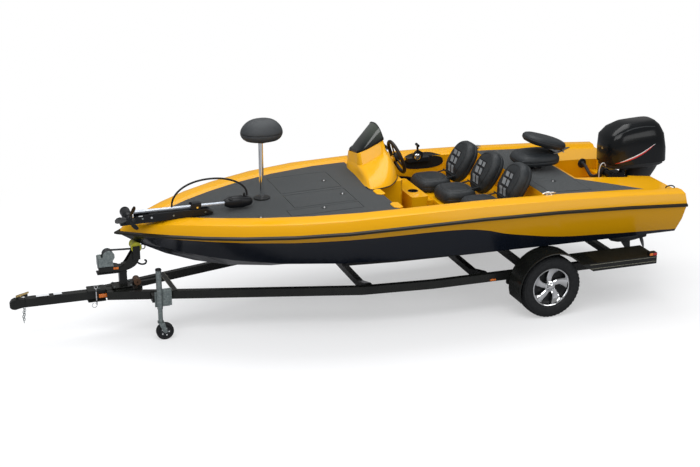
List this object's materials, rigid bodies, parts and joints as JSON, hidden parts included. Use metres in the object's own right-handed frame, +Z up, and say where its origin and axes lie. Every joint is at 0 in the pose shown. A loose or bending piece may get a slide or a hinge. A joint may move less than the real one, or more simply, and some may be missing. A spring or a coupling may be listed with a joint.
{
  "type": "bass boat on trailer",
  "caption": "Fishing boat with casting decks, console, seats, outboard and bow trolling motor, on a single-axle trailer parked on its tongue jack.",
  "frame": {"origin": "on the ground, under the middle of the whole length and breadth", "axes": "+X towards the stern and outboard, +Y to starboard, +Z up"},
  "size_m": [6.642, 2.268, 1.9053],
  "materials": {
    "black_paint": "gloss",
    "black_plastic": "satin",
    "black_rubber": "matte",
    "carpeted_timber": "matte",
    "chrome": "polished",
    "cowl_paint": "gloss",
    "galvanised_steel": "satin",
    "grey_carpet": "matte",
    "grey_vinyl": "satin",
    "smoked_acrylic": "gloss",
    "yellow_gelcoat": "gloss",
    "yellow_urethane": "satin"
  },
  "bodies": {
    "boat_and_trailer": {"axle": "black_paint", "bow_roller": "yellow_urethane", "bunk_port": "carpeted_timber", "bunk_starboard": "carpeted_timber", "carpet_front": "grey_carpet", "carpet_rear": "grey_carpet", "console": "yellow_gelcoat", "cross_member_1": "black_paint", "cross_member_2": "black_paint", "cross_member_3": "black_paint", "deck": "yellow_gelcoat", "fender_port": "black_paint", "fender_starboard": "black_paint", "hull": "yellow_gelcoat", "rail_port": "black_paint", "rail_starboard": "black_paint", "rear_seat_post": "chrome", "rub_rail": "black_rubber", "seat_box": "yellow_gelcoat", "seat_middle": "grey_vinyl", "seat_pole": "chrome", "seat_port": "grey_vinyl", "seat_starboard": "grey_vinyl", "throttle_control": "black_plastic", "tongue_stub": "black_paint", "transom_bracket": "black_plastic", "trolling_base": "black_plastic", "winch": "galvanised_steel", "winch_stand": "black_paint", "windscreen": "smoked_acrylic"},
    "tongue_arm": {"tongue": "black_paint", "coupler": "galvanised_steel"},
    "wheel_port_body": {"tyre_port": "black_rubber", "wheel_port": "chrome"},
    "wheel_starboard_body": {"tyre_starboard": "black_rubber", "wheel_starboard": "chrome"},
    "jack_body": {"jack_tube": "galvanised_steel"},
    "jack_inner": {"jack_leg": "galvanised_steel"},
    "jack_swivel": {"jack_fork": "galvanised_steel"},
    "jack_roller": {"jack_wheel": "black_rubber"},
    "tilting_bracket": {"swivel_bracket": "black_plastic"},
    "outboard_motor": {"outboard_leg": "black_plastic", "outboard_cowl": "cowl_paint"},
    "propeller_body": {"propeller": "black_plastic"},
    "helm": {"steering_wheel": "black_plastic"},
    "back_port": {"seat_back_port": "grey_vinyl"},
    "back_middle": {"seat_back_middle": "grey_vinyl"},
    "back_starboard": {"seat_back_starboard": "grey_vinyl"},
    "pole_seat": {"butt_seat": "grey_vinyl"},
    "rear_seat_body": {"rear_seat": "grey_vinyl"},
    "rear_back": {"rear_seat_back": "grey_vinyl"},
    "lid_front_port_body": {"lid_front_port": "grey_carpet"},
    "lid_front_starboard_body": {"lid_front_starboard": "grey_carpet"},
    "lid_rod_port_body": {"lid_rod_port": "grey_carpet"},
    "lid_rear_port_body": {"lid_rear_port": "grey_carpet"},
    "trolling_link": {"trolling_arm": "black_plastic"},
    "trolling_body": {"trolling_motor": "black_plastic"},
    "trolling_blades": {"trolling_prop": "black_plastic"}
  },
  "joints": [
    {"name": "wheel_port_spin", "type": "hinge", "parent": "boat_and_trailer", "child": "wheel_port_body", "pos_m": [1.576, -0.939, 0.305], "axis": [0, 1, 0], "continuous": true},
    {"name": "wheel_starboard_spin", "type": "hinge", "parent": "boat_and_trailer", "child": "wheel_starboard_body", "pos_m": [1.576, 0.939, 0.305], "axis": [0, 1, 0], "continuous": true},
    {"name": "tongue_swing", "type": "hinge", "parent": "boat_and_trailer", "child": "tongue_arm", "pos_m": [-2.574, 0.051, 0.386], "axis": [0, 0, 1], "range_deg": [-110, 0]},
    {"name": "jack_swing", "type": "hinge", "parent": "boat_and_trailer", "child": "jack_body", "pos_m": [-2.024, -0.345, 0.386], "axis": [0, 1, 0], "range_deg": [0, 90]},
    {"name": "jack_lift", "type": "slide", "parent": "jack_body", "child": "jack_inner", "axis": [0, 0, 1], "range_m": [-0.12, 0.12]},
    {"name": "jack_caster", "type": "hinge", "parent": "jack_inner", "child": "jack_swivel", "pos_m": [-2.024, -0.345, 0.174], "axis": [0, 0, 1], "continuous": true},
    {"name": "jack_wheel_spin", "type": "hinge", "parent": "jack_swivel", "child": "jack_roller", "pos_m": [-1.99, -0.345, 0.081], "axis": [0, 1, 0], "continuous": true},
    {"name": "outboard_tilt", "type": "hinge", "parent": "boat_and_trailer", "child": "tilting_bracket", "pos_m": [2.706, 0, 1.022], "axis": [0, -1, 0], "range_deg": [0, 65]},
    {"name": "outboard_steer", "type": "hinge", "parent": "tilting_bracket", "child": "outboard_motor", "pos_m": [2.846, 0, 1.022], "axis": [0, 0, 1], "range_deg": [-30, 30]},
    {"name": "propeller_spin", "type": "hinge", "parent": "outboard_motor", "child": "propeller_body", "pos_m": [3.1213, 0, 0.33], "axis": [1, 0, 0], "continuous": true},
    {"name": "helm_turn", "type": "hinge", "parent": "boat_and_trailer", "child": "helm", "pos_m": [0.551, 0.45, 1.285], "axis": [0.9336, 0, 0.3584], "range_deg": [-540, 540]},
    {"name": "seat_back_port_fold", "type": "hinge", "parent": "boat_and_trailer", "child": "back_port", "pos_m": [1.2904, -0.42978, 1.0623], "axis": [0, -1, 0], "range_deg": [0, 78]},
    {"name": "seat_back_middle_fold", "type": "hinge", "parent": "boat_and_trailer", "child": "back_middle", "pos_m": [1.2054, 0.02028, 1.0623], "axis": [0, -1, 0], "range_deg": [0, 78]},
    {"name": "seat_back_starboard_fold", "type": "hinge", "parent": "boat_and_trailer", "child": "back_starboard", "pos_m": [1.1204, 0.45006, 1.0623], "axis": [0, -1, 0], "range_deg": [0, 78]},
    {"name": "pole_seat_swivel", "type": "hinge", "parent": "boat_and_trailer", "child": "pole_seat", "pos_m": [-0.959, 0, 1.7], "axis": [0, 0, 1], "continuous": true},
    {"name": "rear_seat_swivel", "type": "hinge", "parent": "boat_and_trailer", "child": "rear_seat_body", "pos_m": [1.898, 0.1, 1.20428], "axis": [0, 0, 1], "continuous": true},
    {"name": "rear_seat_back_fold", "type": "hinge", "parent": "rear_seat_body", "child": "rear_back", "pos_m": [2.1424, 0.1, 1.32628], "axis": [0, 1, 0], "range_deg": [0, 74]},
    {"name": "lid_front_port_open", "type": "hinge", "parent": "boat_and_trailer", "child": "lid_front_port_body", "pos_m": [-0.459, -0.4, 1.1666], "axis": [1, 0, 0], "range_deg": [0, 85]},
    {"name": "lid_front_starboard_open", "type": "hinge", "parent": "boat_and_trailer", "child": "lid_front_starboard_body", "pos_m": [-0.459, 0.56, 1.1666], "axis": [-1, 0, 0], "range_deg": [0, 85]},
    {"name": "lid_rod_port_open", "type": "hinge", "parent": "boat_and_trailer", "child": "lid_rod_port_body", "pos_m": [-0.504, -0.62, 1.1666], "axis": [1, 0, 0], "range_deg": [0, 85]},
    {"name": "lid_rear_port_open", "type": "hinge", "parent": "boat_and_trailer", "child": "lid_rear_port_body", "pos_m": [1.881, -0.72, 1.15395], "axis": [1, 0, 0], "range_deg": [0, 85]},
    {"name": "trolling_arm_deploy", "type": "hinge", "parent": "boat_and_trailer", "child": "trolling_link", "pos_m": [-2.044, -0.2, 1.14782], "axis": [0, -1, 0], "range_deg": [0, 155]},
    {"name": "trolling_collar_turn", "type": "hinge", "parent": "trolling_link", "child": "trolling_body", "pos_m": [-1.624, -0.2, 1.19482], "axis": [0, -1, 0], "range_deg": [-65, 0]},
    {"name": "trolling_prop_spin", "type": "hinge", "parent": "trolling_body", "child": "trolling_blades", "pos_m": [-2.264, -0.3743, 1.19482], "axis": [0, 1, 0], "continuous": true}
  ],
  "couplings": [
    {"joint": "helm_turn", "follows": "outboard_steer", "ratio": 18},
    {"joint": "trolling_collar_turn", "follows": "trolling_arm_deploy", "ratio": -0.41935}
  ]
}
